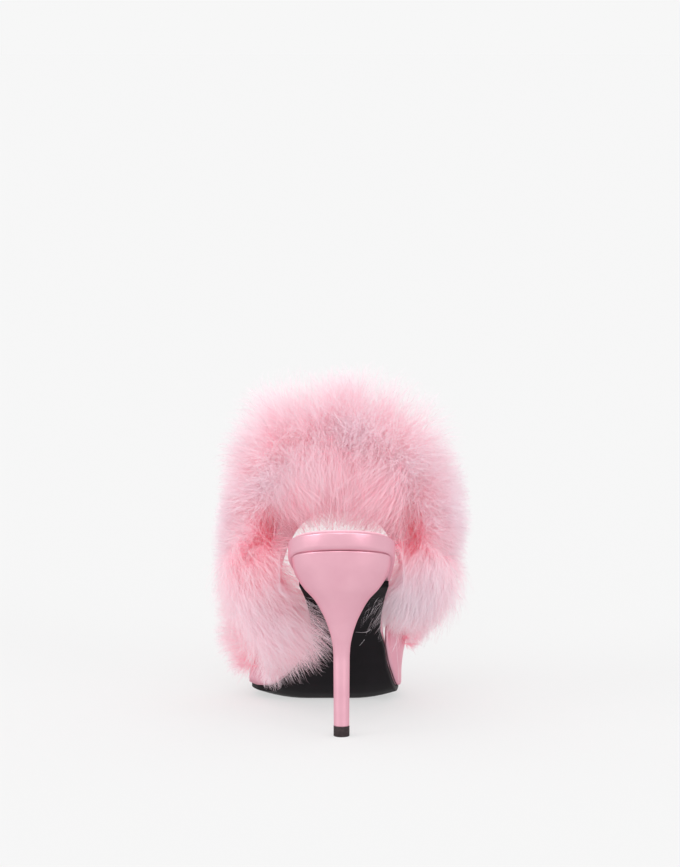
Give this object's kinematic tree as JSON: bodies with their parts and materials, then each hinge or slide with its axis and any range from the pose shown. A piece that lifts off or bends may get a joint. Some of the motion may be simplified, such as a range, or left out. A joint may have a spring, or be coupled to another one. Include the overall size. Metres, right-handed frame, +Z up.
{
  "type": "feather sandal",
  "caption": "High-heeled mule with a satin-wrapped footbed, a slender covered heel and a wide instep band under deep marabou down.",
  "frame": {"origin": "middle of the heel tip's face, on the floor", "axes": "+Z up, +Y from heel to toe, +X towards the outer side of a right foot"},
  "size_m": [0.1473, 0.1994, 0.1815],
  "materials": {
    "satin": "satin",
    "marabou": "matte",
    "lining": "satin",
    "sole_leather": "satin",
    "top_piece": "matte"
  },
  "bodies": {
    "root": {"outsole": "sole_leather", "footbed": "satin", "sock": "lining", "heel": "satin", "top_piece": "top_piece", "upper": "satin", "marabou_trim": "marabou"}
  },
  "joints": []
}
